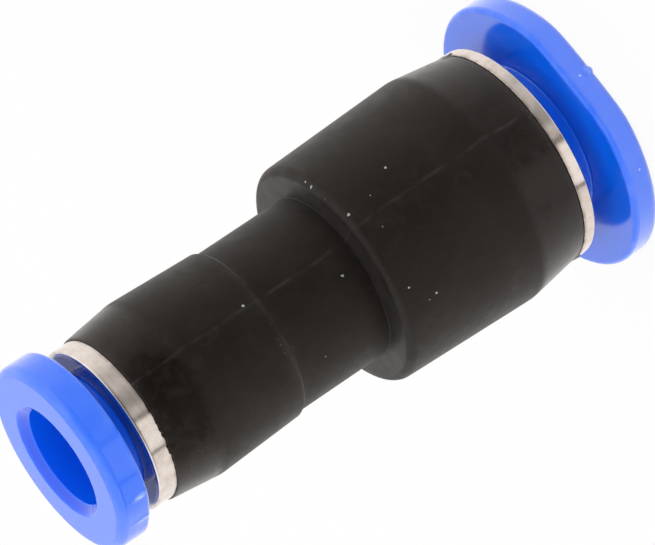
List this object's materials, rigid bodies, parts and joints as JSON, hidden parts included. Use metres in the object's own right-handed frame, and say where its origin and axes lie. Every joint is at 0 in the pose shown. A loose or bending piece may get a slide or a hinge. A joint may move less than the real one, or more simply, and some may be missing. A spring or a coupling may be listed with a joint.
{
  "type": "push-in fitting",
  "caption": "Straight push-in reducing connector for plastic tube: stepped black body, plated ring and flanged blue release sleeve at each end.",
  "frame": {"origin": "centre of the large release sleeve's end face, on which the fitting stands", "axes": "+Z along the common axis of both tube sockets, from the large end to the small end"},
  "size_m": [0.0172, 0.017, 0.0367],
  "materials": {
    "body_plastic": "black, fine moulded texture",
    "sleeve_plastic": "blue, smooth and glossy",
    "ring_metal": "bright nickel plating",
    "grip_steel": "stamped spring steel",
    "backing_plastic": "natural white, smooth",
    "seal_rubber": "black rubber"
  },
  "bodies": {
    "fitting_body": {"body": "body_plastic", "large_guide_ring": "ring_metal", "small_guide_ring": "ring_metal", "large_backing_ring": "backing_plastic", "small_backing_ring": "backing_plastic", "large_seal": "seal_rubber", "small_seal": "seal_rubber"},
    "large_grip": {"large_grip_ring": "grip_steel"},
    "large_sleeve": {"large_release_sleeve": "sleeve_plastic"},
    "small_grip": {"small_grip_ring": "grip_steel"},
    "small_sleeve": {"small_release_sleeve": "sleeve_plastic"}
  },
  "joints": [
    {"name": "large_swivel", "type": "hinge", "parent": "fitting_body", "child": "large_grip", "pos_m": [0, 0, 0.0086], "axis": [0, 0, 1], "continuous": true},
    {"name": "large_release", "type": "slide", "parent": "large_grip", "child": "large_sleeve", "axis": [0, 0, 1], "range_m": [0, 0.0014], "stiffness_N_per_m": 1000, "deforming": ["large_grip_ring"]},
    {"name": "small_swivel", "type": "hinge", "parent": "fitting_body", "child": "small_grip", "pos_m": [0, 0, 0.0282], "axis": [0, 0, 1], "continuous": true},
    {"name": "small_release", "type": "slide", "parent": "small_grip", "child": "small_sleeve", "axis": [0, 0, -1], "range_m": [0, 0.00095], "stiffness_N_per_m": 1000, "deforming": ["small_grip_ring"]}
  ]
}
